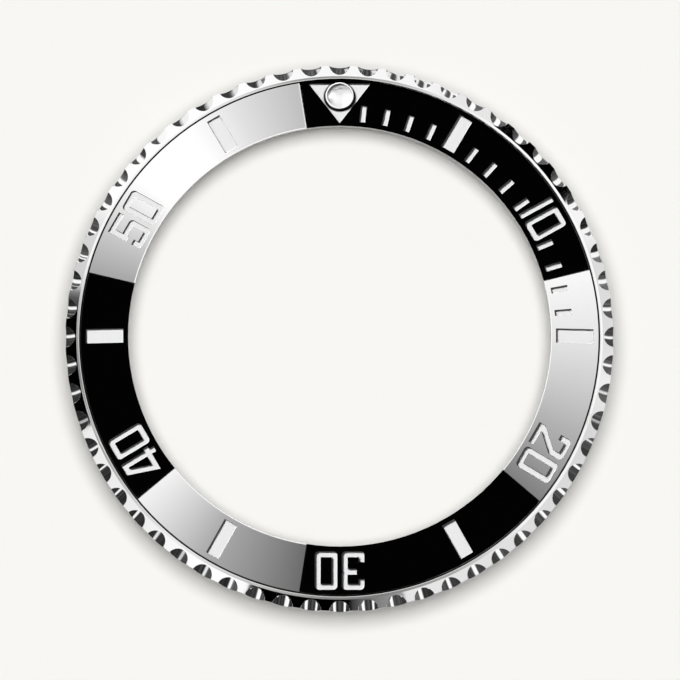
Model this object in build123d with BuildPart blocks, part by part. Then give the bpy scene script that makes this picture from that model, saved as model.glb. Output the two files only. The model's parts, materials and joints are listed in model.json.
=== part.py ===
from build123d import *
import os
from math import atan, cos, pi, radians, sin, tan

# A turning dive watch bezel, in millimetres. +Z leaves the dial, +Y points to twelve
# o'clock, and the origin is on the turning axis at the face that rests on the case.

os.makedirs("parts", exist_ok=True)

# Fixed seat ring, pressed over the collar of the watch case
bore_radius = 15.75
hub_wall = 0.35
hub_play = 0.05
hub_headroom = 0.25
lip_thickness = 0.25
lip_play = 0.10
lip_reach = 0.45
gasket_width = 0.70
gasket_height = 0.30
gasket_play = 0.02

# Dial insert: a thin conical washer, highest at its inner edge
insert_overhang = 0.35
insert_width = 3.54
insert_slope = 12.0
insert_thickness = 0.80
insert_edge_chamfer = 0.07
adhesive_thickness = 0.05
adhesive_inset = 0.08
adhesive_play = 0.01

# Markings, sunk into the insert and lined with metal
recess_depth = 0.20
inlay_thickness = 0.05
marking_inner_margin = 0.35
marking_outer_margin = 0.44
minute_bar_width = 0.43
minute_bar_length = 1.25
baton_width = 1.04
digit_width = 1.64
digit_stroke = 0.42
digit_gap = 0.32
digit_corner = 0.30
triangle_half_width = 2.28
triangle_base_margin = 0.34
triangle_tip_margin = 0.18

# Digit details, as shares of the digit's height or width
two_hook_share = 0.34
three_hook_share = 0.28
lower_hook_share = 0.28
three_bar_share = 0.53
three_bar_start_share = 0.34
three_notch_share = 0.06
two_turn_share = 0.67
two_foot_share = 0.18
four_bar_share = 0.21
four_post_share = 0.83
four_overhang_share = 0.09
four_lead_share = 0.07
four_shoulder_share = 0.45
five_bar_share = 0.56
five_foot_share = 0.05

# Luminous pearl, set into the triangle
pearl_inset = 1.29
pearl_cup_radius = 1.04
pearl_cup_wall = 0.12
pearl_cup_floor = 0.10
pearl_cup_depth = 0.45
pearl_cup_proud = 0.14
pearl_lume_thickness = 0.22
pearl_dome_height = 0.22
pearl_fit = 0.01
pearl_surround = 0.12

# Outer ring, with a web under the insert and a skirt outside the seat
pocket_gap = 0.06
web_edge_thickness = 0.21
rim_drop = 0.06
rim_land = 0.04
rim_chamfer = 0.16
tooth_length = 0.80
tooth_top_drop = 0.08
tooth_tip_chamfer = 0.14
undercut_height = 1.05
undercut_depth = 0.42
skirt_wall = 1.55
skirt_gap = 0.12
flute_count = 60
flute_radius = 0.80
flute_margin = 0.08
flute_height = 1.38
flute_end_depth = 0.04

# Retaining wire, in a groove of the skirt
wire_diameter = 0.36
wire_inset = 0.03
wire_opening = 12.0
groove_wall = 0.10
groove_depth = 0.27
groove_play = 0.02

# Click work: three sprung pawls that push outward into a ring of saw teeth
ratchet_teeth = 120
ratchet_wall = 0.35
ratchet_tooth_depth = 0.25
ratchet_play = 0.05
ratchet_tip_play = 0.15
pawl_count = 3
pawl_height = 0.48
pawl_play = 0.02
pawl_side_play = 0.03
pawl_backlash = 0.14
pawl_tooth_play = 0.03
pawl_pocket_depth = 0.30
pawl_tail_share = 0.40
slot_end_wall = 0.20
spring_radius = 0.13
spring_wire = 0.06
spring_turns = 6
spring_play = 0.02
spring_end_play = 0.01

# Cover plate over the slots, its screws and the washer that the web turns on
cover_thickness = 0.22
cover_play = 0.05
screw_count = 6
screw_shank_radius = 0.24
screw_head_radius = 0.42
screw_head_land = 0.04
screw_length = 0.80
screw_slot_width = 0.12
screw_slot_depth = 0.07
screw_fit = 0.01
washer_thickness = 0.08
washer_play = 0.03
washer_inset = 0.10

# How far a cutting shape runs past the surface that it cuts
overrun = 0.50


def cone_height(radius, drop=0.0):
    """Height of the insert's sloping face at a radius, less a drop measured straight down."""
    return insert_top - (radius - insert_inner_radius) * tan(radians(insert_slope)) - drop


def section(*points):
    """A closed outline on the plane through the axis, as radius and height pairs."""
    with BuildSketch(Plane.XZ) as outline:
        with BuildLine():
            Polyline(*points, close=True)
        make_face()
    return outline.sketch


def dial_plane(minute, height=0.0):
    """A level plane whose Y axis points out through a minute of the dial."""
    turn = 2 * pi * minute / 60
    return Plane(origin=(0, 0, height), x_dir=(cos(turn), -sin(turn), 0), z_dir=(0, 0, 1))


def save(piece, label):
    """Labels a finished piece and writes it under the same name."""
    piece.part.label = label
    export_step(piece.part, f"parts/{label}.step")


# Radii from the case collar outward, then from the grip inward
hub_radius = bore_radius + hub_wall
web_inner_radius = hub_radius + hub_play
insert_inner_radius = bore_radius - insert_overhang
insert_outer_radius = insert_inner_radius + insert_width
pocket_radius = insert_outer_radius + pocket_gap
rim_outer_radius = pocket_radius + rim_land
tooth_start_radius = rim_outer_radius + rim_chamfer
outer_radius = tooth_start_radius + tooth_length
skirt_inner_radius = outer_radius - skirt_wall
lip_radius = skirt_inner_radius - lip_play
neck_radius = lip_radius - lip_reach
ratchet_root_radius = skirt_inner_radius - ratchet_wall
ratchet_tip_radius = ratchet_root_radius - ratchet_tooth_depth
seat_body_radius = ratchet_tip_radius - ratchet_tip_play

# Heights from the case upward, each piece standing on the one before it
groove_bottom = skirt_gap + groove_wall
groove_height = wire_diameter + 2 * groove_play
lip_bottom = groove_bottom + groove_height
lip_top = lip_bottom + lip_thickness
slot_height = pawl_height + 2 * pawl_play
slot_top = lip_top + slot_height
cover_top = slot_top + cover_thickness
washer_top = cover_top + washer_thickness
web_bottom = washer_top + washer_play
adhesive_drop = insert_thickness + adhesive_thickness
cone_rise = (pocket_radius - insert_inner_radius) * tan(radians(insert_slope))
insert_top = web_bottom + web_edge_thickness + adhesive_drop + cone_rise
rim_height = cone_height(insert_outer_radius) - rim_drop
tooth_start_height = rim_height - rim_chamfer
tooth_end_height = tooth_start_height - tooth_top_drop
flute_bottom = tooth_start_height - flute_height
hub_top = cone_height(hub_radius, insert_thickness + hub_headroom)

# Where the markings lie on the insert
marking_inner_radius = insert_inner_radius + marking_inner_margin
marking_outer_radius = insert_outer_radius - marking_outer_margin
digit_height = marking_outer_radius - marking_inner_radius
pearl_radius = insert_outer_radius - pearl_inset


def digit_outline(points, corners):
    """A digit in its own frame, lower left corner at zero, with some corners rounded."""
    with BuildSketch() as shape:
        with BuildLine():
            Polyline(*points, close=True)
        make_face()
        fillet([shape.vertices().sort_by_distance(corner)[0] for corner in corners], digit_corner)
    return shape.sketch


def digit_zero():
    with BuildSketch() as shape:
        Rectangle(digit_width, digit_height, align=Align.MIN)
        fillet(shape.vertices(), digit_corner)
        with Locations((digit_stroke, digit_stroke)):
            Rectangle(
                digit_width - 2 * digit_stroke,
                digit_height - 2 * digit_stroke,
                align=Align.MIN,
                mode=Mode.SUBTRACT,
            )
    return shape.sketch


def digit_one():
    with BuildSketch() as shape:
        Rectangle(digit_stroke, digit_height, align=Align.MIN)
    return shape.sketch


def digit_two():
    turn_left = digit_width - digit_stroke
    turn_y = digit_height * two_turn_share
    foot_y = digit_height * two_foot_share
    slope = (turn_y - foot_y) / turn_left
    drop = digit_stroke * (1 + slope**2) ** 0.5
    hook_y = digit_height * (1 - two_hook_share)
    points = [
        (0, 0),
        (digit_width, 0),
        (digit_width, digit_stroke),
        ((digit_stroke + drop - foot_y) / slope, digit_stroke),
        (digit_width, foot_y + slope * digit_width - drop),
        (digit_width, digit_height),
        (0, digit_height),
        (0, hook_y),
        (digit_stroke, hook_y),
        (digit_stroke, digit_height - digit_stroke),
        (turn_left, digit_height - digit_stroke),
        (turn_left, turn_y),
        (0, foot_y),
    ]
    return digit_outline(points, [(digit_width, digit_height), (0, digit_height)])


def digit_three():
    inner_x = digit_width - digit_stroke
    bar_y = digit_height * three_bar_share
    bar_x = digit_width * three_bar_start_share
    notch = digit_width * three_notch_share
    points = [
        (0, 0),
        (digit_width, 0),
        (digit_width, bar_y - notch),
        (digit_width - notch, bar_y),
        (digit_width, bar_y + notch),
        (digit_width, digit_height),
        (0, digit_height),
        (0, digit_height * (1 - three_hook_share)),
        (digit_stroke, digit_height * (1 - three_hook_share)),
        (digit_stroke, digit_height - digit_stroke),
        (inner_x, digit_height - digit_stroke),
        (inner_x, bar_y + digit_stroke / 2),
        (bar_x, bar_y + digit_stroke / 2),
        (bar_x, bar_y - digit_stroke / 2),
        (inner_x, bar_y - digit_stroke / 2),
        (inner_x, digit_stroke),
        (digit_stroke, digit_stroke),
        (digit_stroke, digit_height * lower_hook_share),
        (0, digit_height * lower_hook_share),
    ]
    corners = [(0, 0), (digit_width, 0), (digit_width, digit_height), (0, digit_height)]
    return digit_outline(points, corners)


def digit_four():
    bar_y = digit_height * four_bar_share
    post_x = digit_width * four_post_share
    post_left = post_x - digit_stroke / 2
    post_right = post_x + digit_stroke / 2
    tip_x = -digit_width * four_lead_share
    end_x = digit_width * (1 + four_overhang_share)
    shoulder_x = digit_width * four_shoulder_share
    top = bar_y + digit_stroke / 2
    bottom = bar_y - digit_stroke / 2
    slope = (digit_height - bottom) / (shoulder_x - tip_x)
    limb_x = tip_x + (digit_stroke + digit_stroke * (1 + slope**2) ** 0.5) / slope
    window_tip = top + (post_left - limb_x) * slope
    with BuildSketch() as window:
        with BuildLine():
            Polyline((limb_x, top), (post_left, top), (post_left, window_tip), close=True)
        make_face()
        with Locations((0, top)):
            Rectangle(
                digit_width,
                digit_height - digit_stroke - top,
                align=Align.MIN,
                mode=Mode.INTERSECT,
            )
    with BuildSketch() as shape:
        with BuildLine():
            Polyline(
                (post_right, digit_height),
                (shoulder_x, digit_height),
                (tip_x, bottom),
                (post_left, bottom),
                (post_left, 0),
                (post_right, 0),
                (post_right, bottom),
                (end_x, bottom),
                (end_x, top),
                (post_right, top),
                close=True,
            )
        make_face()
        add(window.sketch, mode=Mode.SUBTRACT)
    return shape.sketch


def digit_five():
    inner_x = digit_width - digit_stroke
    bar_y = digit_height * five_bar_share
    foot_y = bar_y - digit_stroke / 2 - digit_height * five_foot_share
    points = [
        (0, 0),
        (digit_width, 0),
        (digit_width, bar_y + digit_stroke / 2),
        (digit_stroke, bar_y + digit_stroke / 2),
        (digit_stroke, digit_height - digit_stroke),
        (digit_width, digit_height - digit_stroke),
        (digit_width, digit_height),
        (0, digit_height),
        (0, foot_y),
        (digit_stroke, foot_y),
        (digit_stroke, bar_y - digit_stroke / 2),
        (inner_x, bar_y - digit_stroke / 2),
        (inner_x, digit_stroke),
        (digit_stroke, digit_stroke),
        (digit_stroke, digit_height * lower_hook_share),
        (0, digit_height * lower_hook_share),
    ]
    corners = [(0, 0), (digit_width, 0), (digit_width, bar_y + digit_stroke / 2)]
    return digit_outline(points, corners)


digits = {
    "0": digit_zero(),
    "1": digit_one(),
    "2": digit_two(),
    "3": digit_three(),
    "4": digit_four(),
    "5": digit_five(),
}


def numeral_outline(minute):
    """Two digits side by side, centred on their minute, with their tops outward."""
    widths = [digit_stroke if digit == "1" else digit_width for digit in str(minute)]
    left = -(sum(widths) + digit_gap) / 2
    with BuildSketch(dial_plane(minute)) as outline:
        for digit, width in zip(str(minute), widths):
            with Locations((left, marking_inner_radius)):
                add(digits[digit])
            left += width + digit_gap
    return outline.sketch


def bar_outline(minute, width, length):
    """A straight bar that points at the centre and starts at the markings' inner edge."""
    with BuildSketch(dial_plane(minute)) as outline:
        with Locations((0, marking_inner_radius + length / 2)):
            Rectangle(width, length)
    return outline.sketch


def triangle_outline():
    """The zero mark: a triangle with its tip inward, widened round the pearl."""
    base_y = insert_outer_radius - triangle_base_margin
    tip_y = insert_inner_radius + triangle_tip_margin
    with BuildSketch() as outline:
        with BuildLine():
            Polyline(
                (-triangle_half_width, base_y),
                (0, tip_y),
                (triangle_half_width, base_y),
                close=True,
            )
        make_face()
        with Locations((0, pearl_radius)):
            Circle(pearl_cup_radius + pearl_surround)
        with Locations((0, base_y)):
            Rectangle(
                2 * triangle_half_width,
                2 * pearl_cup_radius,
                align=(Align.CENTER, Align.MIN),
                mode=Mode.SUBTRACT,
            )
    return outline.sketch


# Outlines of all markings, under the names of the pieces that line them
minute_bar_minutes = [minute for minute in range(1, 15) if minute % 5]
markings = {"triangle_marker": [triangle_outline()]}
markings["minute_markers"] = [
    bar_outline(minute, minute_bar_width, minute_bar_length) for minute in minute_bar_minutes
]
for minute in range(10, 60, 10):
    markings[f"numeral_{minute}"] = [numeral_outline(minute)]
for minute in range(5, 60, 10):
    markings[f"baton_{minute:02d}"] = [bar_outline(minute, baton_width, digit_height)]

# The conical layers that the recesses and their linings are cut from
with BuildPart() as recess_layer:
    revolve(
        section(
            (insert_inner_radius, cone_height(insert_inner_radius, recess_depth)),
            (insert_outer_radius, cone_height(insert_outer_radius, recess_depth)),
            (insert_outer_radius, insert_top + overrun),
            (insert_inner_radius, insert_top + overrun),
        ),
        axis=Axis.Z,
    )

with BuildPart() as inlay_layer:
    inlay_drop = recess_depth - inlay_thickness
    revolve(
        section(
            (insert_inner_radius, cone_height(insert_inner_radius, recess_depth)),
            (insert_outer_radius, cone_height(insert_outer_radius, recess_depth)),
            (insert_outer_radius, cone_height(insert_outer_radius, inlay_drop)),
            (insert_inner_radius, cone_height(insert_inner_radius, inlay_drop)),
        ),
        axis=Axis.Z,
    )

with BuildPart() as marking_recesses:
    for outlines in markings.values():
        for outline in outlines:
            extrude(outline, amount=insert_top + overrun)
    add(recess_layer.part, mode=Mode.INTERSECT)

# The pearl stands square to the insert's slope, on an axis of its own
slope_angle = radians(insert_slope)
pearl_origin = (0, pearl_radius, cone_height(pearl_radius))
pearl_normal = (0, sin(slope_angle), cos(slope_angle))
pearl_plane = Plane(origin=pearl_origin, x_dir=(1, 0, 0), z_dir=pearl_normal)
pearl_section = Plane(
    origin=pearl_origin,
    x_dir=(1, 0, 0),
    z_dir=(0, -cos(slope_angle), sin(slope_angle)),
)
pearl_axis = Axis(pearl_origin, pearl_normal)

with BuildPart() as pearl_hole:
    with BuildSketch(pearl_plane.offset(-pearl_cup_depth)):
        Circle(pearl_cup_radius + pearl_fit)
    extrude(amount=pearl_cup_depth + overrun)

# Dial insert, with chamfered top edges
chamfer_drop = insert_edge_chamfer + insert_edge_chamfer * tan(slope_angle)
with BuildPart() as bezel_insert:
    revolve(
        section(
            (insert_inner_radius, cone_height(insert_inner_radius, insert_thickness)),
            (insert_outer_radius, cone_height(insert_outer_radius, insert_thickness)),
            (insert_outer_radius, cone_height(insert_outer_radius, chamfer_drop)),
            (
                insert_outer_radius - insert_edge_chamfer,
                cone_height(insert_outer_radius - insert_edge_chamfer),
            ),
            (
                insert_inner_radius + insert_edge_chamfer,
                cone_height(insert_inner_radius + insert_edge_chamfer),
            ),
            (insert_inner_radius, cone_height(insert_inner_radius, chamfer_drop)),
        ),
        axis=Axis.Z,
    )
    add(marking_recesses.part, mode=Mode.SUBTRACT)
    add(pearl_hole.part, mode=Mode.SUBTRACT)
save(bezel_insert, "bezel_insert")

# Metal linings of the recesses, one piece to a marking and the minute bars together
for name, outlines in markings.items():
    with BuildPart() as lining:
        for outline in outlines:
            extrude(outline, amount=insert_top + overrun)
        add(inlay_layer.part, mode=Mode.INTERSECT)
        if name == "triangle_marker":
            add(pearl_hole.part, mode=Mode.SUBTRACT)
    save(lining, name)

# Adhesive layer between the insert and the web
adhesive_inner_radius = web_inner_radius + adhesive_inset
adhesive_outer_radius = insert_outer_radius - adhesive_inset
film_top_drop = insert_thickness + adhesive_play
film_bottom_drop = adhesive_drop - adhesive_play
with BuildPart() as insert_adhesive:
    revolve(
        section(
            (adhesive_inner_radius, cone_height(adhesive_inner_radius, film_bottom_drop)),
            (adhesive_outer_radius, cone_height(adhesive_outer_radius, film_bottom_drop)),
            (adhesive_outer_radius, cone_height(adhesive_outer_radius, film_top_drop)),
            (adhesive_inner_radius, cone_height(adhesive_inner_radius, film_top_drop)),
        ),
        axis=Axis.Z,
    )
save(insert_adhesive, "insert_adhesive")

# Pearl: a metal cup, the luminous fill and a domed lens over it
cup_inner_radius = pearl_cup_radius - pearl_cup_wall
cup_floor_top = pearl_cup_floor - pearl_cup_depth
lume_top = cup_floor_top + pearl_lume_thickness
lens_radius = cup_inner_radius - pearl_fit
with BuildPart() as pearl_cup:
    with BuildSketch(pearl_plane.offset(-pearl_cup_depth)):
        Circle(pearl_cup_radius)
    extrude(amount=pearl_cup_depth + pearl_cup_proud)
    rim_edge = pearl_cup.edges().filter_by(GeomType.CIRCLE).sort_by(Axis.Z)[-1]
    fillet(rim_edge, pearl_cup_wall / 2)
    with BuildSketch(pearl_plane.offset(cup_floor_top)):
        Circle(cup_inner_radius)
    extrude(amount=pearl_cup_depth + overrun, mode=Mode.SUBTRACT)
save(pearl_cup, "pearl_cup")

with BuildPart() as pearl_lume:
    with BuildSketch(pearl_plane.offset(cup_floor_top)):
        Circle(lens_radius)
    extrude(amount=pearl_lume_thickness)
save(pearl_lume, "pearl_lume")

with BuildPart() as pearl_lens:
    with BuildSketch(pearl_section):
        with BuildLine():
            lens_edge = Line((lens_radius, lume_top), (lens_radius, pearl_cup_proud / 2))
            dome_top = (0, pearl_cup_proud / 2 + pearl_dome_height)
            dome = TangentArc(dome_top, (lens_radius, lens_edge.position_at(1).Y), tangent=(1, 0))
            Line(dome_top, (0, lume_top))
            Line((0, lume_top), (lens_radius, lume_top))
        make_face()
    revolve(axis=pearl_axis)
save(pearl_lens, "pearl_lens")

# One flute of the grip: a round cutter that leans out towards the bottom
flute_top_radius = tooth_start_radius + flute_margin
flute_end_radius = outer_radius - flute_end_depth
flute_lean = atan((flute_end_radius - flute_top_radius) / (tooth_start_height - flute_bottom))
flute_plane = Plane(
    origin=(0, flute_top_radius + flute_radius / cos(flute_lean), tooth_start_height),
    x_dir=(1, 0, 0),
    z_dir=(0, -sin(flute_lean), cos(flute_lean)),
)
with BuildPart() as flute_cutter:
    with BuildSketch(flute_plane):
        Circle(flute_radius)
    extrude(amount=rim_height, both=True)

# Outer ring: web, pocket, rim, fluted wall and skirt with its wire groove
with BuildPart() as bezel_ring:
    revolve(
        section(
            (web_inner_radius, web_bottom),
            (web_inner_radius, cone_height(web_inner_radius, adhesive_drop)),
            (pocket_radius, cone_height(pocket_radius, adhesive_drop)),
            (pocket_radius, rim_height),
            (rim_outer_radius, rim_height),
            (tooth_start_radius, tooth_start_height),
            (outer_radius - tooth_tip_chamfer, tooth_end_height),
            (outer_radius, tooth_end_height - tooth_tip_chamfer),
            (outer_radius, undercut_height),
            (outer_radius - undercut_depth, skirt_gap),
            (skirt_inner_radius, skirt_gap),
            (skirt_inner_radius, groove_bottom),
            (skirt_inner_radius + groove_depth, groove_bottom),
            (skirt_inner_radius + groove_depth, lip_bottom),
            (skirt_inner_radius, lip_bottom),
            (skirt_inner_radius, web_bottom),
        ),
        axis=Axis.Z,
    )
    with PolarLocations(0, flute_count):
        add(flute_cutter.part, mode=Mode.SUBTRACT)
save(bezel_ring, "bezel_ring")

# Ring of saw teeth, pressed up into the skirt. Seen from above, the ramps let it turn
# anticlockwise and the steep faces stop it the other way.
tooth_turn = 2 * pi / ratchet_teeth
first_tooth = pi / 2 - tooth_turn / 2
ratchet_points = []
for tooth in range(ratchet_teeth):
    start = first_tooth + tooth * tooth_turn
    end = start + tooth_turn
    ratchet_points.append((ratchet_tip_radius * cos(start), ratchet_tip_radius * sin(start)))
    ratchet_points.append((ratchet_root_radius * cos(end), ratchet_root_radius * sin(end)))
with BuildPart() as ratchet_ring:
    with BuildSketch(Plane.XY.offset(lip_top + ratchet_play)):
        Circle(skirt_inner_radius)
        with BuildLine():
            Polyline(*ratchet_points, close=True)
        make_face(mode=Mode.SUBTRACT)
    extrude(amount=web_bottom - lip_top - ratchet_play)
save(ratchet_ring, "ratchet_ring")

# Retaining wire: an open ring that holds the bezel down under the seat's lip
with BuildPart() as retaining_wire:
    with BuildSketch(Plane.XZ):
        with Locations((skirt_inner_radius - wire_inset, groove_bottom + groove_height / 2)):
            Circle(wire_diameter / 2)
    revolve(axis=Axis.Z, revolution_arc=360 - wire_opening)
save(retaining_wire, "retaining_wire")

# Fixed seat ring: neck, lip, slotted body and hub, with a gasket groove underneath
tooth_half_pitch = ratchet_tip_radius * tan(tooth_turn / 2)
pawl_width = 2 * tooth_half_pitch - pawl_backlash
slot_width = pawl_width + 2 * pawl_side_play
slot_end_radius = hub_radius + slot_end_wall
slot_angles = [90 + 360 * place / pawl_count for place in range(pawl_count)]
screw_circle_radius = (hub_radius + seat_body_radius) / 2
gasket_inner_radius = (bore_radius + neck_radius - gasket_width) / 2
gasket_outer_radius = gasket_inner_radius + gasket_width
with BuildPart() as seat_ring:
    revolve(
        section(
            (bore_radius, 0),
            (neck_radius, 0),
            (neck_radius, lip_bottom),
            (lip_radius, lip_bottom),
            (lip_radius, lip_top),
            (seat_body_radius, lip_top),
            (seat_body_radius, slot_top),
            (hub_radius, slot_top),
            (hub_radius, hub_top),
            (bore_radius, hub_top),
        ),
        axis=Axis.Z,
    )
    with BuildSketch(Plane.XY):
        Circle(gasket_outer_radius)
        Circle(gasket_inner_radius, mode=Mode.SUBTRACT)
    extrude(amount=gasket_height, mode=Mode.SUBTRACT)
    slot_length = seat_body_radius - slot_end_radius + overrun
    with BuildSketch(Plane.XY.offset(lip_top)):
        for angle in slot_angles:
            with PolarLocations(slot_end_radius + slot_length / 2, 1, start_angle=angle):
                Rectangle(slot_length, slot_width)
    extrude(amount=slot_height, mode=Mode.SUBTRACT)
    with BuildSketch(Plane.XY.offset(slot_top)):
        with PolarLocations(screw_circle_radius, screw_count):
            Circle(screw_shank_radius + screw_fit)
    extrude(amount=cover_thickness - screw_length, mode=Mode.SUBTRACT)
save(seat_ring, "seat_ring")

with BuildPart() as seat_gasket:
    with BuildSketch(Plane.XY):
        Circle(gasket_outer_radius - gasket_play)
        Circle(gasket_inner_radius + gasket_play, mode=Mode.SUBTRACT)
    extrude(amount=gasket_height)
save(seat_gasket, "seat_gasket")

# Cover plate with countersunk holes, and the slotted screws that hold it
with BuildPart() as cover_plate:
    with BuildSketch(Plane.XY.offset(slot_top)):
        Circle(seat_body_radius)
        Circle(hub_radius + cover_play, mode=Mode.SUBTRACT)
    extrude(amount=cover_thickness)
    with Locations(Plane.XY.offset(cover_top)):
        with PolarLocations(screw_circle_radius, screw_count):
            CounterSinkHole(screw_shank_radius + screw_fit, screw_head_radius + screw_fit)
save(cover_plate, "cover_plate")

screw_head_height = cover_thickness - screw_head_land
with BuildPart() as cover_screws:
    with BuildSketch(Plane.XY.offset(cover_top)):
        with PolarLocations(screw_circle_radius, screw_count):
            Circle(screw_shank_radius)
    extrude(amount=-screw_length)
    with Locations(Plane.XY.offset(cover_top - screw_head_height / 2)):
        with PolarLocations(screw_circle_radius, screw_count):
            Cone(screw_shank_radius, screw_head_radius, screw_head_height)
    with BuildSketch(Plane.XY.offset(cover_top)):
        with PolarLocations(screw_circle_radius, screw_count):
            Rectangle(2 * screw_head_radius + overrun, screw_slot_width)
    extrude(amount=-screw_slot_depth, mode=Mode.SUBTRACT)
save(cover_screws, "cover_screws")

with BuildPart() as friction_washer:
    with BuildSketch(Plane.XY.offset(cover_top)):
        Circle(seat_body_radius - washer_inset)
        Circle(hub_radius + washer_inset, mode=Mode.SUBTRACT)
    extrude(amount=washer_thickness)
save(friction_washer, "friction_washer")

# Click pawls, each a block with a slanted nose that fits one tooth space, and its spring
half_width = pawl_width / 2
tooth_rise = ratchet_tooth_depth / (2 * tooth_half_pitch)
nose_middle = ratchet_tip_radius + ratchet_tooth_depth / 2 - pawl_tooth_play
pawl_middle = lip_top + slot_height / 2
pawl_tail_radius = slot_end_radius + (seat_body_radius - slot_end_radius) * pawl_tail_share
spring_start = slot_end_radius + spring_end_play + spring_wire / 2
spring_end = pawl_tail_radius + pawl_pocket_depth - spring_end_play - spring_wire / 2
for number, angle in enumerate(slot_angles, start=1):
    turn = radians(angle)
    outward = Vector(cos(turn), sin(turn), 0)
    across = Vector(sin(turn), -cos(turn), 0)
    with BuildPart() as click_pawl:
        with BuildSketch(Plane((0, 0, lip_top + pawl_play), x_dir=across, z_dir=(0, 0, 1))):
            with BuildLine():
                Polyline(
                    (-half_width, pawl_tail_radius),
                    (half_width, pawl_tail_radius),
                    (half_width, nose_middle - half_width * tooth_rise),
                    (-half_width, nose_middle + half_width * tooth_rise),
                    close=True,
                )
            make_face()
        extrude(amount=pawl_height)
        with BuildSketch(Plane(outward * pawl_tail_radius + Vector(0, 0, pawl_middle), z_dir=outward)):
            Circle(spring_radius + spring_wire / 2 + spring_play)
        extrude(amount=pawl_pocket_depth, mode=Mode.SUBTRACT)
    save(click_pawl, f"click_pawl_{number}")

    with BuildPart() as click_spring:
        with BuildLine() as coil:
            Helix(
                pitch=(spring_end - spring_start) / spring_turns,
                height=spring_end - spring_start,
                radius=spring_radius,
                center=outward * spring_start + Vector(0, 0, pawl_middle),
                direction=outward,
            )
        with BuildSketch(Plane(origin=coil.line @ 0, z_dir=coil.line % 0)):
            Circle(spring_wire / 2)
        sweep()
    save(click_spring, f"click_spring_{number}")
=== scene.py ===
import bpy
import json
from math import cos, pi, radians, sin
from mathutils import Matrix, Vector


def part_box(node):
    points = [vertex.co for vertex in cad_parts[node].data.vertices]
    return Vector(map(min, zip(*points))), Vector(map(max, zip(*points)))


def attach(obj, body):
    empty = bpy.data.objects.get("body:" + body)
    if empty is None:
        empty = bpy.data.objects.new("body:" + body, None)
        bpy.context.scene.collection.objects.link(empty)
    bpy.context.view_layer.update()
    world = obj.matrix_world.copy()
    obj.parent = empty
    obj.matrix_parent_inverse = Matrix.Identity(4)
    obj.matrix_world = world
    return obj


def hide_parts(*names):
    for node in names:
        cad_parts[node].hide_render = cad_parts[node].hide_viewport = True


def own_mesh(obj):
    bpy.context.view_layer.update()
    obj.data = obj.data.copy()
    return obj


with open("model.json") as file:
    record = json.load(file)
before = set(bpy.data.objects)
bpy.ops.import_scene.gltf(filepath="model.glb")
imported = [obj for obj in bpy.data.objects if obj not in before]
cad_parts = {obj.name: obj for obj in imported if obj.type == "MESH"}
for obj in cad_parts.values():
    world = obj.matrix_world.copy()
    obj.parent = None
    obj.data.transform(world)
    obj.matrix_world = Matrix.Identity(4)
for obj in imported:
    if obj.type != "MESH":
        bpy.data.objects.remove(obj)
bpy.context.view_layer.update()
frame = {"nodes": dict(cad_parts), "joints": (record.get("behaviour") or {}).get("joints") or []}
nodes = frame["nodes"]

MM = 0.001

# Pieces that share a material or a lamp
INLAY_NODES = [name for name in nodes if name.startswith(("numeral_", "baton_", "minute_", "triangle_"))]
MARKING_NODES = INLAY_NODES + ["pearl_cup", "pearl_lume", "pearl_lens"]
GROUND_NODES = [name for name in nodes if name.startswith(("click_", "retaining_", "cover_screws"))]

# Sizes of the CAD model
OUTER_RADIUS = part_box("bezel_ring")[1].x
GRIP_WIDTH = 0.76 * MM
FLUTE_COUNT = 60
TOOTH_SLOPE = 6.9
INSERT_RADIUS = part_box("bezel_insert")[1].x
INSERT_INNER_RADIUS = 15.4 * MM
INSERT_SLOPE = 12.0

# Camera, above the dial and leaning towards six o'clock
CAMERA_DISTANCE = 500 * MM
CAMERA_LEAN = 6.12
CAMERA_LENS = 363.2
CAMERA_SENSOR = 36.0
CAMERA_TARGET = Vector((0.03, -0.26, 2.8)) * MM
CAMERA_CLIP = (5 * MM, 50000 * MM)

# Sky and lamps, which together light a level white to white
SKY_LEVEL = 0.09
LAMP_DISTANCE = 500 * MM
# The dial angle that each lamp leans to, its lean and its width, in degrees
OVERHEAD_LAMP = (0.0, 0.5, 30.0)
MARKING_LAMP = (308.0, 47.0, 12.0)

# Pale floor, whose colour is in display levels from 0 to 255, as all colours here are
FLOOR_COLOUR = (248, 247, 243)
FLOOR_SIZE = 4000 * MM
FLOOR_GAP = 0.01 * MM

# Softboxes in the sky that polished faces mirror, as dial angles and the levels that the faces show
INSERT_LIGHTS = (
    ((75, 248), (90, 230), (112, 178), (129.5, 128)),
    ((189, 108), (212, 172), (222, 214), (231, 243)),
    ((284.5, 165), (294, 200), (308, 255), (324, 255), (336, 224), (350.8, 190)),
    ((350.8, 252), (351, 252)),
)
GRIP_LIGHTS = (
    ((0, 248), (19, 246), (27, 231), (36, 230)),
    ((59, 247), (67, 242), (73, 219), (90, 220), (100, 238), (111, 214), (166, 231)),
    ((166, 150), (171, 134), (177.5, 55)),
    ((200, 255), (213, 255), (228, 236), (250.5, 238)),
    ((276, 60), (279.5, 85), (281, 205), (293, 213), (301, 255), (340, 254), (352, 248), (360, 248)),
)
CHAMFER_LIGHT_LEVEL = 252
# Levels that steel faces show of the low sky
HORIZON_LEVELS = (
    (0, 150), (12, 180), (24, 235), (36, 252), (135, 246), (155, 165), (171, 126), (183, 132),
    (195, 180), (219, 238), (243, 160), (267, 140), (279, 176), (291, 247), (327, 250), (339, 221),
    (351, 156), (360, 150),
)

# Where each ring of the sky ends, from the one that level faces mirror outwards
CENTRE_REACH = 0.13
GRIP_REACH = 0.36
INSERT_REACH = 0.47
CHAMFER_REACH = 0.56

# Dark card with bright slots round the foot of the ring, which the flutes mirror
CARD_GAP = 0.3 * MM
DARK_REACH = 30.0 * MM
CARD_REACH = 400.0 * MM
CARD_HEIGHT = 0.02 * MM
RING_STEPS = 180

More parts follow.
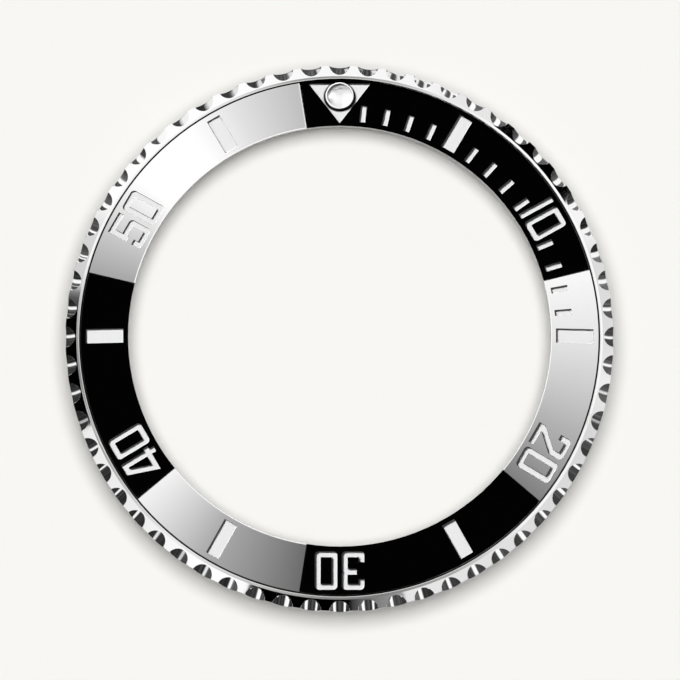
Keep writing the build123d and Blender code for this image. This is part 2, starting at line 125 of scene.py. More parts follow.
# How the card's image spreads across a flute, where place 0 is the flute's middle
CARD_APEX = 21.05 * MM
CARD_NEAREST = 0.05 * MM
CARD_SPREAD = 1.65
CARD_NORTH_SPREAD = 0.23
CARD_EAST_SHIFT = 0.14

# Slots of the card, by the dial angle of their flutes
# Each has its place (positive is anticlockwise), half width, and level of the wall on its anticlockwise side
EAST_SLOTS = (
    (0, -2.8, 1.15, 75), (6, -2.4, 1.4, 70), (12, -0.85, 0.7, 65), (24, -1.6, 1.2, 85),
    (30, 0.05, 0.25, 85), (36, -0.35, 0.45, 75), (42, -0.9, 1.0, 75), (48, -0.05, 0.38, 95),
    (54, -1.05, 1.05, 75), (66, -1.45, 1.4, 40), (72, -0.1, 0.3, 45), (84, -0.08, 0.22, 85),
    (90, -0.1, 0.16, 70), (102, 0.03, 0.14, 80), (108, -0.2, 0.13, 80), (114, 1.35, 0.65, 85),
    (126, 1.0, 0.6, 95), (132, 0.55, 0.28, 90), (138, 0.28, 0.29, 85), (156, -0.1, 0.21, 60),
    (162, -0.42, 0.33, 50), (168, -1.15, 0.75, 65), (180, -1.55, 1.0, 55),
)
WEST_SLOTS = (
    (180, -1.55, 1.0, 55), (186, -1.65, 1.0, 55), (192, 1.25, 0.85, 55), (198, 0.62, 0.48, 95),
    (204, 0.15, 0.2, 95), (216, 0.2, 0.2, 80), (222, -0.35, 0.2, 50), (240, -0.75, 0.2, 50),
    (246, 0.37, 0.23, 60), (258, 0.0, 0.15, 55), (276, -0.07, 0.16, 70), (282, -0.05, 0.17, 85),
    (288, 2.0, 1.15, 80), (300, 1.05, 0.95, 80), (312, 0.5, 0.5, 90), (318, -2.8, 3.4, 90),
    (330, -2.8, 2.8, 45), (336, -2.8, 2.65, 60), (342, -0.2, 0.22, 75), (348, -2.8, 2.0, 80),
    (360, -2.8, 1.15, 75),
)
# Second slots, by dial angle, place and half width
SECOND_SLOTS = (
    (0, 1.6, 0.0), (6, 1.6, 0.0), (12, 2.4, 1.8), (24, 0.65, 0.4), (30, 0.65, 0.0), (168, 1.35, 0.0),
    (174, 1.35, 0.7), (186, 1.4, 0.75), (192, 1.4, 0.0), (270, 2.85, 0.0), (276, 2.85, 0.45),
    (282, 2.5, 0.7), (288, 0.2, 0.14), (294, 0.2, 0.0), (360, 1.6, 0.0),
)
# Levels of the slots themselves
SLOT_LEVELS = (
    (0, 220), (15, 225), (30, 252), (60, 242), (98, 245), (108, 170), (120, 248), (204, 250),
    (216, 200), (228, 243), (246, 238), (252, 170), (258, 240), (312, 252), (336, 222), (354, 210),
    (360, 220),
)
# Levels of the wall on the slots' clockwise side
CLOCKWISE_LEVELS = (
    (0, 105), (12, 85), (24, 115), (48, 100), (66, 140), (90, 75), (100, 112), (110, 65), (150, 66),
    (168, 128), (192, 55), (234, 50), (282, 40), (292, 86), (312, 66), (342, 138), (360, 105),
)
# How softly the slots end
SLOT_SOFTNESS = (
    (0, 0.7), (6, 0.6), (12, 0.15), (30, 0.07), (300, 0.07), (312, 0.15), (324, 0.35), (336, 0.25),
    (342, 0.1), (348, 0.5), (360, 0.7),
)
SLOT_RANGE = 3.0
LEAST_HALF_WIDTH = 0.05

# Light and dark of the card beside its slots
MIDDLE_RISE = 1.25
RISE_FALL = 0.5
STREAK_STEP = 0.37
STREAK_SCALE = 4.0
STREAK_DETAIL = 2.0
STREAK_RANGE = (0.3, 0.7)
STREAK_SHADES = (0.2, 1.9)

# A flag that deepens the floor's shadow round the grip, where light would pass through the flutes
FLAG_RADII = (19.0 * MM, 20.06 * MM)
FLAG_HEIGHT = 4.8 * MM
FLAG_SHIFT = -0.3 * MM
FLAG_LEVEL = 40

# Ceramic of the insert; each material's grain is the scale and detail of its noise
CERAMIC_LEVEL = 3
CERAMIC_IOR = 2.1
CERAMIC_GRAIN = (900.0, 3.0)
CERAMIC_ROUGHNESS = (0.004, 0.02)
CHAMFER_SLOPE = 15.5
WALL_MARGIN = 0.15 * MM
WALL_ROUGHNESS = 0.9
# How far a facet may lean from the cone, in degrees, to count as its face or as its chamfer
FACE_LEAN = 6.0
CHAMFER_LEAN = 60.0

# Polished steel of the ring
STEEL_LEVEL = 236
STEEL_GRAIN = (1500.0, 4.0)
STEEL_ROUGHNESS = (0.015, 0.045)
STEEL_EDGE_RADIUS = 0.03 * MM
EDGE_SAMPLES = 8
# The least upward part of the normal of a tooth top
TOP_UPRIGHT = 0.55

# Turned and ground steel, as level and roughness; each relief is its strength and depth
TURNED_STEEL = (200, 0.28)
GROUND_STEEL = (185, 0.22)
SATIN_GRAIN = (20000.0, 3.0)
SATIN_UNEVENNESS = 0.25
SATIN_RELIEF = (0.15, 0.004 * MM)

# Lining of the markings
INLAY_SPECULAR = 0.06
INLAY_GRAIN = (12000.0, 3.0)
INLAY_TONES = (231, 241)
INLAY_ROUGHNESS = (0.4, 0.55)
INLAY_RELIEF = (0.2, 0.003 * MM)
INLAY_EDGE_RADIUS = 0.09 * MM
HOLLOW_STEEPNESS = 2.2
# Painted shade: a dark ring on the lining round the pearl's cup, as its width and level
SHADE_RING_WIDTH = 0.09 * MM
SHADE_RING_LEVEL = 10

# Cup, fill and lens of the pearl
CUP_SPECULAR = 0.1
CUP_GRAIN = (4000.0, 3.0)
CUP_TONES = (246, 252)
# Painted shade on the cup's sides
CUP_SIDE_SHADE_LEVEL = 40
CUP_TOP_UPRIGHT = 0.7
CUP_ROUGHNESS = (0.25, 0.35)
LUME_SPECULAR = 0.1
LUME_ROUGHNESS = 0.7
LUME_GRAIN = (4000.0, 4.0)
LUME_TONES = (240, 255)
# Painted shade on the lume: its shift towards the upper left, where it starts, and its levels
LUME_SHADE_SHIFT = 0.22
LUME_SHADE_START = 0.55
LUME_SHADE_LEVELS = (248, 200)
LENS_LEVEL = 250
LENS_IOR = 1.45
LENS_GRAIN = (3000.0, 2.0)
LENS_ROUGHNESS = (0.28, 0.36)

# Film, seal and washer, as their two tones, roughness and grain
FILM = ((60, 80), 0.6, (3000.0, 4.0))
RUBBER = ((28, 40), 0.55, (5000.0, 4.0))
PLASTIC = ((225, 235), 0.45, (3000.0, 4.0))
SOFT_RELIEF = (0.2, 0.004 * MM)

# The Mix node's first input and its result, by data type
MIX_SOCKETS = {"RGBA": (6, 2), "VECTOR": (4, 1)}


def linear(level):
    """The linear value of a display level from 0 to 255."""
    share = level / 255
    return share / 12.92 if share <= 0.04045 else ((share + 0.055) / 1.055) ** 2.4


def colour(levels):
    return tuple(linear(level) for level in levels) + (1.0,)


def grey(level):
    return colour((level, level, level))


def feed(tree, value, socket):
    """Links another node's socket to this one, or sets a plain value on it."""
    if isinstance(value, bpy.types.NodeSocket):
        tree.links.new(value, socket)
    else:
        socket.default_value = value


def add_node(tree, kind, inputs=None, **properties):
    made = tree.nodes.new(kind)
    for name, value in properties.items():
        setattr(made, name, value)
    for name, value in (inputs or {}).items():
        feed(tree, value, made.inputs[name])
    return made


def calc(tree, operation, *operands):
    made = add_node(tree, "ShaderNodeMath", dict(enumerate(operands)), operation=operation)
    return made.outputs["Value"]


def vector_calc(tree, operation, *operands, result="Vector"):
    made = add_node(tree, "ShaderNodeVectorMath", dict(enumerate(operands)), operation=operation)
    return made.outputs[result]


def scale_vector(tree, vector, scale):
    made = add_node(tree, "ShaderNodeVectorMath", {0: vector, "Scale": scale}, operation="SCALE")
    return made.outputs["Vector"]


def blend(tree, factor, low, high, data_type="RGBA"):
    """The colour or vector low where the factor is 0, and high where it is 1."""
    made = add_node(tree, "ShaderNodeMix", {"Factor": factor}, data_type=data_type)
    first, result = MIX_SOCKETS[data_type]
    feed(tree, low, made.inputs[first])
    feed(tree, high, made.inputs[first + 1])
    return made.outputs[result]


def tone_between(tree, factor, levels):
    return blend(tree, factor, *[grey(level) for level in levels])


def mapped(tree, value, to_range, from_range=(0.0, 1.0)):
    """A value carried from one range to another, and kept within it."""
    made = add_node(tree, "ShaderNodeMapRange", {
        "Value": value, "From Min": from_range[0], "From Max": from_range[1],
        "To Min": to_range[0], "To Max": to_range[1],
    })
    return made.outputs["Result"]


def noise(tree, place, scale, detail):
    made = add_node(tree, "ShaderNodeTexNoise", {"Vector": place, "Scale": scale, "Detail": detail})
    return made.outputs["Fac"]


def split(tree, vector):
    parts = add_node(tree, "ShaderNodeSeparateXYZ", {"Vector": vector})
    return parts.outputs["X"], parts.outputs["Y"], parts.outputs["Z"]


def object_place(tree):
    return add_node(tree, "ShaderNodeTexCoord").outputs["Object"]


def dial_turn(tree, east, north):
    """The clockwise turn from twelve o'clock, from 0 to 1."""
    return calc(tree, "FRACT", calc(tree, "DIVIDE", calc(tree, "ARCTAN2", east, north), 2 * pi))


def length_of(tree, east, north):
    squares = [calc(tree, "MULTIPLY", part, part) for part in (east, north)]
    return calc(tree, "SQRT", calc(tree, "ADD", *squares))


def turn_ramp(tree, turn, stops):
    """Colours that blend into each other from one dial angle to the next; a ramp holds 32 stops."""
    ramp_node = add_node(tree, "ShaderNodeValToRGB", {"Fac": turn})
    ramp = ramp_node.color_ramp
    for element, (angle, shade) in zip(ramp.elements, (stops[0], stops[-1])):
        element.position = angle / 360
        element.color = shade
    for angle, shade in stops[1:-1]:
        ramp.elements.new(angle / 360).color = shade
    return ramp_node.outputs["Color"]


def level_ramp(tree, turn, stops):
    return turn_ramp(tree, turn, [(angle, grey(level)) for angle, level in stops])


def ring_of_lights(tree, turn, lights):
    """All softboxes of one ring of the sky: their colours, black between them, and where they are."""
    colours, places = (0.0, 0.0, 0.0), 0.0
    for light in lights:
        begun = calc(tree, "GREATER_THAN", turn, light[0][0] / 360)
        unended = calc(tree, "LESS_THAN", turn, light[-1][0] / 360)
        place = calc(tree, "MULTIPLY", begun, unended)
        shown = scale_vector(tree, level_ramp(tree, turn, light), place)
        colours = vector_calc(tree, "ADD", colours, shown)
        places = calc(tree, "ADD", places, place)
    return colours, places


def horizon(tree, turn):
    """What upright and slanting steel faces mirror, brighter than they show it."""
    return scale_vector(tree, level_ramp(tree, turn, HORIZON_LEVELS), 1 / linear(STEEL_LEVEL))


def make_world():
    """An even sky for matt faces, the floor's colour for the camera, and softboxes for polished faces."""
    world = bpy.data.worlds.new("studio")
    bpy.context.scene.world = world
    world.use_nodes = True
    tree = world.node_tree
    tree.nodes.clear()
    direction = add_node(tree, "ShaderNodeTexCoord").outputs["Generated"]
    east, north, _ = split(tree, direction)
    # Turn and reach are measured from the direction that a level mirror shows the camera
    north = calc(tree, "SUBTRACT", north, sin(radians(CAMERA_LEAN)))
    turn = dial_turn(tree, east, north)
    reach = length_of(tree, east, north)
    ceramic_mirror = 1 / ((CERAMIC_IOR - 1) / (CERAMIC_IOR + 1)) ** 2
    insert_colours, insert_places = ring_of_lights(tree, turn, INSERT_LIGHTS)
    insert_lights = scale_vector(tree, insert_colours, ceramic_mirror)
    chamfer_colours = scale_vector(tree, grey(CHAMFER_LIGHT_LEVEL)[:3], insert_places)
    chamfer_lights = scale_vector(tree, chamfer_colours, ceramic_mirror)
    grip_colours, _ = ring_of_lights(tree, turn, GRIP_LIGHTS)
    grip_lights = scale_vector(tree, grip_colours, 1 / linear(STEEL_LEVEL))
    rings = (
        (CHAMFER_REACH, chamfer_lights),
        (INSERT_REACH, insert_lights),
        (GRIP_REACH, grip_lights),
        (CENTRE_REACH, colour(FLOOR_COLOUR)),
    )
    mirrored = horizon(tree, turn)
    for limit, inside in rings:
        mirrored = blend(tree, calc(tree, "LESS_THAN", reach, limit), mirrored, inside)
    sky = (SKY_LEVEL, SKY_LEVEL, SKY_LEVEL, 1.0)
    ray = add_node(tree, "ShaderNodeLightPath")
    seen = blend(tree, ray.outputs["Is Camera Ray"], sky, colour(FLOOR_COLOUR))
    glossy = calc(tree, "MAXIMUM", ray.outputs["Is Glossy Ray"], ray.outputs["Is Transmission Ray"])
    # After a diffuse bounce only the even sky is there
    undiffused = calc(tree, "LESS_THAN", ray.outputs["Diffuse Depth"], 0.5)
    shown = blend(tree, calc(tree, "MULTIPLY", glossy, undiffused), seen, mirrored)
    background = add_node(tree, "ShaderNodeBackground", {"Color": shown})
    output = add_node(tree, "ShaderNodeOutputWorld")
    tree.links.new(background.outputs["Background"], output.inputs["Surface"])


def make_lamp(name, turn, lean, width):
    """A broad lamp that, with the sky, lights a level white to white."""
    turn, lean = radians(turn), radians(lean)
    towards = Vector((sin(turn) * sin(lean), cos(turn) * sin(lean), cos(lean)))
    data = bpy.data.lights.new(name, "SUN")
    data.energy = pi * (1 - SKY_LEVEL) / towards.z
    data.angle = radians(width)
    lamp = bpy.data.objects.new(name, data)
    lamp.rotation_mode = "QUATERNION"
    lamp.rotation_quaternion = (-towards).to_track_quat("-Z", "Y")
    lamp.location = towards * LAMP_DISTANCE
    lamp.visible_glossy = False
    bpy.context.scene.collection.objects.link(lamp)
    return lamp


def link_lamp(lamp, state):
    """Includes or excludes the markings among what a lamp lights."""
    faces = bpy.data.collections.new(lamp.name + "_faces")
    lamp.light_linking.receiver_collection = faces
    for name in MARKING_NODES:
        faces.objects.link(nodes[name])
    for entry in faces.collection_objects:
        entry.light_linking.link_state = state


def make_lamps():
    """One lamp overhead for the whole, and one from the upper left for the sunk markings and the pearl."""
    link_lamp(make_lamp("overhead_lamp", *OVERHEAD_LAMP), "EXCLUDE")
    marking_lamp = make_lamp("marking_lamp", *MARKING_LAMP)
    link_lamp(marking_lamp, "INCLUDE")
    return marking_lamp


def make_camera():
    data = bpy.data.cameras.new("camera")
    data.lens = CAMERA_LENS
    data.sensor_width = CAMERA_SENSOR
    data.clip_start, data.clip_end = CAMERA_CLIP
    camera = bpy.data.objects.new("camera", data)
    back = Vector((0, -sin(radians(CAMERA_LEAN)), cos(radians(CAMERA_LEAN))))
    camera.location = CAMERA_TARGET + back * CAMERA_DISTANCE
    camera.rotation_mode = "QUATERNION"
    camera.rotation_quaternion = (-back).to_track_quat("-Z", "Y")
    bpy.context.scene.collection.objects.link(camera)
    bpy.context.scene.camera = camera


def new_material(name, **uniform):
    """A material, its tree and its shader, with the values that are the same all over set on the shader."""
    material = bpy.data.materials.new(name)
    material.use_nodes = True
    tree = material.node_tree
    shader = tree.nodes["Principled BSDF"]
    for socket, value in uniform.items():
        shader.inputs[socket.replace("_", " ")].default_value = value
    return material, tree, shader


def add_stage(name, mesh, material):
    """A floor or card, which isn't part of the object."""
    mesh.materials.append(material)
    made = bpy.data.objects.new(name, mesh)
    bpy.context.scene.collection.objects.link(made)
    return made


def make_floor():
    """A level pale sheet just under the part."""
    material = new_material("floor_paper", Roughness=1.0, Specular_IOR_Level=0.0,
                            Base_Color=colour(FLOOR_COLOUR))[0]
    half = FLOOR_SIZE / 2
    signs = ((-1, -1), (1, -1), (1, 1), (-1, 1))
    corners = [(east * half, north * half, -FLOOR_GAP) for east, north in signs]
    mesh = bpy.data.meshes.new("floor")
    mesh.from_pydata(corners, [], [(0, 1, 2, 3)])
    add_stage("floor", mesh, material)


def flat_ring(name, inner, outer, height, shift, material):
    """A level ring of card that only reflections or shadows show."""
    points, faces = [], []
    for step in range(RING_STEPS):
        angle = 2 * pi * step / RING_STEPS
        points += [(radius * sin(angle), radius * cos(angle) + shift, height) for radius in (inner, outer)]
        following = (step + 1) % RING_STEPS
        faces.append((2 * step, 2 * step + 1, 2 * following + 1, 2 * following))
    mesh = bpy.data.meshes.new(name)
    mesh.from_pydata(points, [], faces)
    ring = add_stage(name, mesh, material)
    ring.visible_camera = False
    ring.visible_diffuse = False
    ring.visible_transmission = False
    ring.visible_volume_scatter = False
    return ring


def card_slot(tree, turn, across, *tables):
    """Where a slot is open, given the place across the flute, with the slot's level and place.
    The colour ramps hold place, half width and level; a second table is for the western half."""
    ramps = []
    for slots in tables:
        stops = [(angle, ((place / SLOT_RANGE + 1) / 2, half, linear(level), 1.0))
                 for angle, place, half, level in slots]
        ramps.append(turn_ramp(tree, turn, stops))
    ramp = ramps[0] if len(ramps) == 1 else blend(tree, calc(tree, "GREATER_THAN", turn, 0.5), *ramps)
    parts = add_node(tree, "ShaderNodeSeparateColor", {"Color": ramp})
    centred = calc(tree, "SUBTRACT", calc(tree, "MULTIPLY", parts.outputs["Red"], 2), 1)
    place = calc(tree, "MULTIPLY", centred, SLOT_RANGE)
    half = parts.outputs["Green"]
    soft = turn_ramp(tree, turn, [(angle, (value, value, value, 1.0)) for angle, value in SLOT_SOFTNESS])
    away = calc(tree, "ABSOLUTE", calc(tree, "SUBTRACT", across, place))
    depth = calc(tree, "SUBTRACT", calc(tree, "ADD", half, soft), away)
    inside = mapped(tree, depth, (0.0, 1.0), (0.0, calc(tree, "MULTIPLY", soft, 2)))
    is_open = calc(tree, "MULTIPLY", inside, calc(tree, "GREATER_THAN", half, LEAST_HALF_WIDTH))
    return is_open, parts.outputs["Blue"], place


def place_across_flute(tree, east, north, reach, off_centre):
    """Where in a flute's mirror image of the card a point is, from the angle off the flute's middle."""
    northward = calc(tree, "MULTIPLY", calc(tree, "DIVIDE", north, reach), CARD_NORTH_SPREAD)
    eastward = calc(tree, "MULTIPLY", calc(tree, "DIVIDE", east, reach), CARD_EAST_SHIFT)
    ahead = calc(tree, "MAXIMUM", calc(tree, "SUBTRACT", reach, CARD_APEX), CARD_NEAREST)
    width = calc(tree, "MULTIPLY", calc(tree, "ADD", CARD_SPREAD, northward), ahead)
    fan = calc(tree, "DIVIDE", calc(tree, "MULTIPLY", off_centre, reach), width)
    return calc(tree, "ADD", fan, eastward)


def make_card():
    """A card round the foot of the ring, dark with bright slots, which only polished faces mirror."""
    material = bpy.data.materials.new("dark_card")
    material.use_nodes = True
    tree = material.node_tree
    tree.nodes.clear()
    east, north, _ = split(tree, object_place(tree))
    turn = dial_turn(tree, east, north)
    reach = length_of(tree, east, north)
    count = calc(tree, "MULTIPLY", turn, FLUTE_COUNT)
    flute = calc(tree, "ROUND", count)
    off_centre = calc(tree, "MULTIPLY", calc(tree, "SUBTRACT", count, flute), 2 * pi / FLUTE_COUNT)
    across = place_across_flute(tree, east, north, reach, off_centre)
    flute_turn = calc(tree, "DIVIDE", flute, FLUTE_COUNT)
    first, wall_level, slot_place = card_slot(tree, flute_turn, across, EAST_SLOTS, WEST_SLOTS)
    second = card_slot(tree, flute_turn, across, [(*slot, 0) for slot in SECOND_SLOTS])[0]
    anticlockwise = add_node(tree, "ShaderNodeCombineXYZ", {axis: wall_level for axis in "XYZ"})
    clockwise = level_ramp(tree, flute_turn, CLOCKWISE_LEVELS)
    is_clockwise = calc(tree, "LESS_THAN", across, slot_place)
    beside = blend(tree, is_clockwise, anticlockwise.outputs["Vector"], clockwise)
    off_middle = calc(tree, "MINIMUM", calc(tree, "ABSOLUTE", across), 1.0)
    rise = calc(tree, "SUBTRACT", MIDDLE_RISE, calc(tree, "MULTIPLY", off_middle, RISE_FALL))
    flute_shift = calc(tree, "MULTIPLY", flute, STREAK_STEP)
    along = add_node(tree, "ShaderNodeCombineXYZ", {"X": across, "Y": flute_shift})
    streak = noise(tree, along.outputs["Vector"], STREAK_SCALE, STREAK_DETAIL)
    uneven = mapped(tree, streak, STREAK_SHADES, STREAK_RANGE)
    shade = scale_vector(tree, scale_vector(tree, beside, rise), uneven)
    bright = level_ramp(tree, flute_turn, SLOT_LEVELS)
    near = blend(tree, calc(tree, "MAXIMUM", first, second), shade, bright)
    near_bright = scale_vector(tree, near, 1 / linear(STEEL_LEVEL))
    shown = blend(tree, calc(tree, "GREATER_THAN", reach, DARK_REACH), near_bright, horizon(tree, turn))
    glow = add_node(tree, "ShaderNodeEmission", {"Color": shown})
    output = add_node(tree, "ShaderNodeOutputMaterial")
    tree.links.new(glow.outputs["Emission"], output.inputs["Surface"])
    card = flat_ring("dark_card", OUTER_RADIUS + CARD_GAP, CARD_REACH, CARD_HEIGHT, 0.0, material)
    card.visible_shadow = False


def make_flag(marking_lamp):
    """A ring above the flutes that shades the floor, and that the marking lamp ignores."""
    material = new_material("flag_card", Base_Color=grey(FLAG_LEVEL))[0]
    flag = flat_ring("shadow_flag", *FLAG_RADII, FLAG_HEIGHT, FLAG_SHIFT, material)
    flag.visible_glossy = False
    blocked = bpy.data.collections.new("marking_lamp_blockers")
    blocked.objects.link(flag)
    for entry in blocked.collection_objects:
        entry.light_linking.link_state = "EXCLUDE"
    marking_lamp.light_linking.blocker_collection = blocked


def outward_from_axis(tree, place):
    """The unit vector away from the dial's axis, and the distance from it."""
    east, north, _ = split(tree, place)
    flat = add_node(tree, "ShaderNodeCombineXYZ", {"X": east, "Y": north})
    return vector_calc(tree, "NORMALIZE", flat.outputs["Vector"]), length_of(tree, east, north)


def cone_normal(tree, outward, slope):
    """The upward normal of a cone round the dial's axis, in world space."""
    leaning = scale_vector(tree, outward, sin(radians(slope)))
    cone = vector_calc(tree, "ADD", leaning, (0, 0, cos(radians(slope))))
    turned = add_node(tree, "ShaderNodeVectorTransform", {"Vector": cone},
                      vector_type="NORMAL", convert_from="OBJECT", convert_to="WORLD")
    return turned.outputs["Vector"]


def set_relief(tree, shader, height, relief, **normal):
    """Fine relief on the shader's normal, given as strength and depth."""
    strength, depth = relief
    inputs = {"Height": height, "Strength": strength, "Distance": depth, **normal}
    bump = add_node(tree, "ShaderNodeBump", inputs)
    tree.links.new(bump.outputs["Normal"], shader.inputs["Normal"])


def ceramic():
    """Mirror polished black ceramic, dull on the walls of its recesses. Its face and its inner chamfer are
    shaded as true cones."""
    material, tree, shader = new_material("ceramic_black", Base_Color=grey(CERAMIC_LEVEL), IOR=CERAMIC_IOR)
    place = object_place(tree)
    outward, reach = outward_from_axis(tree, place)
    face = cone_normal(tree, outward, INSERT_SLOPE)
    chamfer = cone_normal(tree, outward, CHAMFER_SLOPE)
    geometry = add_node(tree, "ShaderNodeNewGeometry")
    facet = geometry.outputs["True Normal"]
    match = vector_calc(tree, "DOT_PRODUCT", facet, face, result="Value")
    lean_out = vector_calc(tree, "DOT_PRODUCT", facet, outward, result="Value")
    on_face = calc(tree, "GREATER_THAN", match, cos(radians(FACE_LEAN)))
    on_chamfer = calc(tree, "MULTIPLY", calc(tree, "GREATER_THAN", match, cos(radians(CHAMFER_LEAN))),
                      calc(tree, "LESS_THAN", lean_out, sin(radians(INSERT_SLOPE))))
    around = blend(tree, on_chamfer, geometry.outputs["Normal"], chamfer, "VECTOR")
    tree.links.new(blend(tree, on_face, around, face, "VECTOR"), shader.inputs["Normal"])
    inside = calc(tree, "LESS_THAN", reach, INSERT_RADIUS - WALL_MARGIN)
    outside = calc(tree, "GREATER_THAN", reach, INSERT_INNER_RADIUS + WALL_MARGIN)
    on_wall = calc(tree, "MULTIPLY", calc(tree, "MULTIPLY", inside, outside),
                   calc(tree, "LESS_THAN", match, cos(radians(CHAMFER_LEAN))))
    rough = mapped(tree, noise(tree, place, *CERAMIC_GRAIN), CERAMIC_ROUGHNESS)
    dulled = calc(tree, "MAXIMUM", rough, calc(tree, "MULTIPLY", on_wall, WALL_ROUGHNESS))
    tree.links.new(dulled, shader.inputs["Roughness"])
    return material


def polished_steel():
    """Bright polished steel of the outer ring, with the grip's edges slightly rounded and the tooth tops
    shaded as a true cone."""
    material, tree, shader = new_material("steel_polished", Base_Color=grey(STEEL_LEVEL), Metallic=1.0)
    place = object_place(tree)
    rough = mapped(tree, noise(tree, place, *STEEL_GRAIN), STEEL_ROUGHNESS)
    tree.links.new(rough, shader.inputs["Roughness"])
    edge = add_node(tree, "ShaderNodeBevel", {"Radius": STEEL_EDGE_RADIUS}, samples=EDGE_SAMPLES)
    geometry = add_node(tree, "ShaderNodeNewGeometry")
    outward, reach = outward_from_axis(tree, place)
    on_grip = calc(tree, "GREATER_THAN", reach, OUTER_RADIUS - GRIP_WIDTH)
    upright = split(tree, geometry.outputs["True Normal"])[2]
    on_top = calc(tree, "MULTIPLY", on_grip, calc(tree, "GREATER_THAN", upright, TOP_UPRIGHT))
    normal = blend(tree, on_grip, geometry.outputs["Normal"], edge.outputs["Normal"], "VECTOR")
    top = cone_normal(tree, outward, TOOTH_SLOPE)
    tree.links.new(blend(tree, on_top, normal, top, "VECTOR"), shader.inputs["Normal"])
    return material


def satin_steel(name, level, roughness):
    """Turned or ground steel of the hidden parts, with fine marks."""
    material, tree, shader = new_material(name, Base_Color=grey(level), Metallic=1.0)
    east, north, up = split(tree, object_place(tree))
    profile = add_node(tree, "ShaderNodeCombineXYZ", {"X": length_of(tree, east, north), "Y": up})
    marks = noise(tree, profile.outputs["Vector"], *SATIN_GRAIN)
    limits = (roughness * (1 - SATIN_UNEVENNESS), roughness * (1 + SATIN_UNEVENNESS))
    tree.links.new(mapped(tree, marks, limits), shader.inputs["Roughness"])
    set_relief(tree, shader, marks, SATIN_RELIEF)
    return material


def inlay_metal():
    """Fine bright lining of the markings, which curves up at the foot of their walls, with painted shade
    as a dark ring round the pearl's cup."""
    material, tree, shader = new_material("inlay_metal", Specular_IOR_Level=INLAY_SPECULAR)
    place = object_place(tree)
    grain = noise(tree, place, *INLAY_GRAIN)
    tone = tone_between(tree, grain, INLAY_TONES)
    low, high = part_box("pearl_cup")
    shade_ring_radius = (high.x - low.x) / 2 + SHADE_RING_WIDTH
    away = vector_calc(tree, "DISTANCE", place, (low + high) / 2, result="Value")
    past_shade_ring = mapped(tree, away, (0.0, 1.0), (shade_ring_radius, shade_ring_radius + SHADE_RING_WIDTH))
    # Painted shade: the lining is dark in a ring round the pearl's cup
    tree.links.new(blend(tree, past_shade_ring, grey(SHADE_RING_LEVEL), tone), shader.inputs["Base Color"])
    tree.links.new(mapped(tree, grain, INLAY_ROUGHNESS), shader.inputs["Roughness"])
    bevel = add_node(tree, "ShaderNodeBevel", {"Radius": INLAY_EDGE_RADIUS}, samples=EDGE_SAMPLES)
    rounded = bevel.outputs["Normal"]
    facet = add_node(tree, "ShaderNodeNewGeometry").outputs["True Normal"]
    upright = vector_calc(tree, "PROJECT", rounded, facet)
    hollow = vector_calc(tree, "ADD", scale_vector(tree, upright, 1 + HOLLOW_STEEPNESS),
                         scale_vector(tree, rounded, -HOLLOW_STEEPNESS))
    outward, _ = outward_from_axis(tree, place)
    righting = vector_calc(tree, "SUBTRACT", (0, 0, 1), cone_normal(tree, outward, INSERT_SLOPE))
    level = vector_calc(tree, "NORMALIZE", vector_calc(tree, "ADD", hollow, righting))
    set_relief(tree, shader, grain, INLAY_RELIEF, Normal=level)
    return material


def cup_metal():
    """The pearl's cup: a bright rim, and sides darkened with painted shade."""
    material, tree, shader = new_material("rim_metal", Specular_IOR_Level=CUP_SPECULAR)
    grain = noise(tree, object_place(tree), *CUP_GRAIN)
    tone = tone_between(tree, grain, CUP_TONES)
    upright = split(tree, add_node(tree, "ShaderNodeNewGeometry").outputs["True Normal"])[2]
    faces_up = calc(tree, "GREATER_THAN", upright, CUP_TOP_UPRIGHT)
    # Painted shade: faces of the cup that don't face up are dark
    tree.links.new(blend(tree, faces_up, grey(CUP_SIDE_SHADE_LEVEL), tone), shader.inputs["Base Color"])
    tree.links.new(mapped(tree, grain, CUP_ROUGHNESS), shader.inputs["Roughness"])
    return material


def lume():
    """Pressed luminous compound under the lens, with painted shade that greys it towards its upper left
    edge.
    """
    material, tree, shader = new_material("lume", Roughness=LUME_ROUGHNESS, Specular_IOR_Level=LUME_SPECULAR)
    place = object_place(tree)
    low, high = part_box("pearl_lume")
    middle = (low + high) / 2
    radius = (high.x - low.x) / 2
    aside = Vector((radius * LUME_SHADE_SHIFT, -radius * LUME_SHADE_SHIFT, 0))
    # Painted shade: the lume greys away from a point shifted to the upper left
    away = vector_calc(tree, "DISTANCE", place, middle + aside, result="Value")
    shade_ramp = add_node(tree, "ShaderNodeValToRGB", {"Fac": calc(tree, "DIVIDE", away, radius)})
    shade_stops = shade_ramp.color_ramp.elements
    for element, position, level in zip(shade_stops, (LUME_SHADE_START, 1.0), LUME_SHADE_LEVELS):
        element.position = position
        element.color = grey(level)
    tone = tone_between(tree, noise(tree, place, *LUME_GRAIN), LUME_TONES)
    shaded = vector_calc(tree, "MULTIPLY", shade_ramp.outputs["Color"], tone)
    tree.links.new(shaded, shader.inputs["Base Color"])
    return material


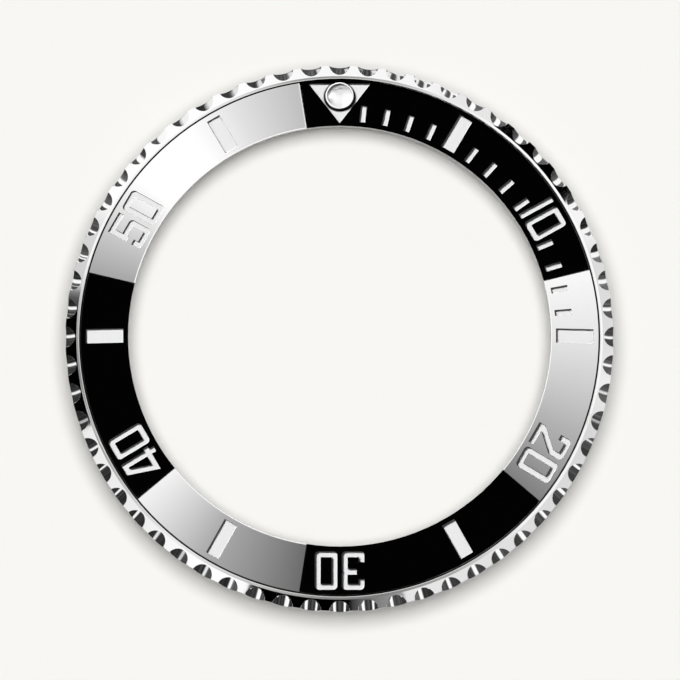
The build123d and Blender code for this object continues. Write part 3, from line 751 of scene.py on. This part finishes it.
def lens_glass():
    """Clear dome over the luminous fill."""
    material, tree, shader = new_material("lens_glass", Base_Color=grey(LENS_LEVEL), IOR=LENS_IOR,
                                          Transmission_Weight=1.0)
    rough = mapped(tree, noise(tree, object_place(tree), *LENS_GRAIN), LENS_ROUGHNESS)
    tree.links.new(rough, shader.inputs["Roughness"])
    return material


def soft_material(name, tones, roughness, grain):
    """A plain moulded or pressed material with a fine mottle."""
    material, tree, shader = new_material(name, Roughness=roughness)
    mottle = noise(tree, object_place(tree), *grain)
    tree.links.new(tone_between(tree, mottle, tones), shader.inputs["Base Color"])
    set_relief(tree, shader, mottle, SOFT_RELIEF)
    return material


def dress(material, *names):
    """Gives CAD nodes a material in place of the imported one."""
    for name in names:
        nodes[name].data.materials.clear()
        nodes[name].data.materials.append(material)


def dress_part():
    """Every CAD node gets its material, and the lens lets the lamps through."""
    dress(ceramic(), "bezel_insert")
    dress(polished_steel(), "bezel_ring")
    dress(cup_metal(), "pearl_cup")
    dress(inlay_metal(), *INLAY_NODES)
    dress(satin_steel("steel_turned", *TURNED_STEEL), "seat_ring", "ratchet_ring", "cover_plate")
    dress(satin_steel("steel_ground", *GROUND_STEEL), *GROUND_NODES)
    dress(lens_glass(), "pearl_lens")
    dress(lume(), "pearl_lume")
    dress(soft_material("adhesive_film", *FILM), "insert_adhesive")
    dress(soft_material("seal_rubber", *RUBBER), "seat_gasket")
    dress(soft_material("washer_plastic", *PLASTIC), "friction_washer")
    nodes["pearl_lens"].visible_shadow = False


def make_springs():
    """Coil springs in place of the CAD springs, attached to the seat's body; the first one lies along the Y
    axis.
    """
    for joint in frame["joints"]:
        if joint["type"] != "slide":
            continue
        node = joint["name"].replace("_slide", "").replace("pawl", "spring")
        spring = bpy.data.objects.new(node.replace("click", "coil"), nodes[node].data.copy())
        bpy.context.scene.collection.objects.link(spring)
        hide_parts(node)
        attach(spring, "seat")
        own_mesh(spring)


make_world()
marking_lamp = make_lamps()
make_camera()
make_floor()
make_card()
make_flag(marking_lamp)
dress_part()
make_springs()
bpy.context.scene.view_settings.view_transform = "Standard"
